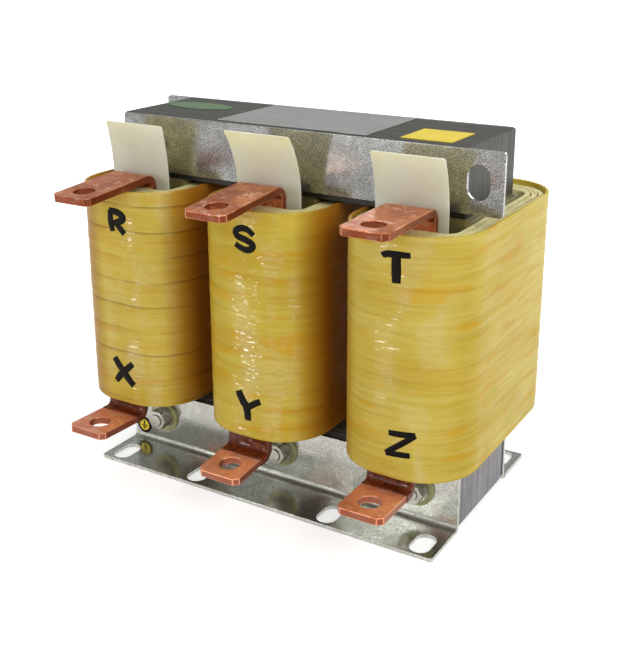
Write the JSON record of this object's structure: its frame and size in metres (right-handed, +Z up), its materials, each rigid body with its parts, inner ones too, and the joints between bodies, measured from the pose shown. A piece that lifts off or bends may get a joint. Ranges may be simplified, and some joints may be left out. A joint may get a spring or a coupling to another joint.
{
  "type": "harmonic filter reactor",
  "caption": "Harmonic filter reactor: taped foil coils on a gapped laminated core, copper bar terminals, slotted steel feet.",
  "frame": {"origin": "on the mounting plane, under the middle of the whole reactor's box", "axes": "+X along the core from phase R to phase T, -Y towards the terminals, +Z up"},
  "size_m": [0.287, 0.197, 0.237],
  "materials": {
    "core_steel": "varnished laminated steel, satin",
    "galvanised_sheet": "galvanised, spangled",
    "zinc_steel": "zinc plated, satin",
    "glass_epoxy": "varnished glass-epoxy laminate, satin",
    "black_board": "dark insulating board, matte",
    "winding_paper": "varnished insulating paper edges, matte",
    "winding_foil": "foil edges, satin",
    "coil_tape": "varnished glass tape, glossy amber",
    "copper": "bare copper, brushed",
    "flag_sheet": "cream insulating sheet, satin",
    "plate_metal": "blank metal plate, satin",
    "yellow_label": "plain yellow film, glossy",
    "green_label": "plain green film, glossy"
  },
  "bodies": {
    "root": {"lower_yoke": "core_steel", "upper_yoke": "core_steel", "gap_pads": "glass_epoxy", "lower_bracket_front": "galvanised_sheet", "lower_bracket_back": "galvanised_sheet", "upper_bracket_front": "galvanised_sheet", "upper_bracket_back": "galvanised_sheet", "insulation_strips_lower": "black_board", "insulation_strips_upper": "black_board", "insulating_washers": "glass_epoxy", "flat_washers": "zinc_steel", "hex_nuts": "zinc_steel", "through_bolts": "zinc_steel", "bolt_sleeves": "glass_epoxy", "rating_plate": "plate_metal", "square_label": "yellow_label", "oval_label": "green_label", "earth_label": "yellow_label", "leg_blocks_r": "core_steel", "former_r": "glass_epoxy", "winding_paper_r": "winding_paper", "winding_foil_r": "winding_foil", "tape_shell_r": "coil_tape", "end_packing_r": "glass_epoxy", "duct_sticks_r": "glass_epoxy", "flag_r": "flag_sheet", "leg_blocks_s": "core_steel", "former_s": "glass_epoxy", "winding_paper_s": "winding_paper", "winding_foil_s": "winding_foil", "tape_shell_s": "coil_tape", "end_packing_s": "glass_epoxy", "duct_sticks_s": "glass_epoxy", "flag_s": "flag_sheet", "leg_blocks_t": "core_steel", "former_t": "glass_epoxy", "winding_paper_t": "winding_paper", "winding_foil_t": "winding_foil", "tape_shell_t": "coil_tape", "end_packing_t": "glass_epoxy", "duct_sticks_t": "glass_epoxy", "flag_t": "flag_sheet", "terminal_r": "copper", "terminal_s": "copper", "terminal_t": "copper", "terminal_x": "copper", "terminal_y": "copper", "terminal_z": "copper"}
  },
  "joints": []
}
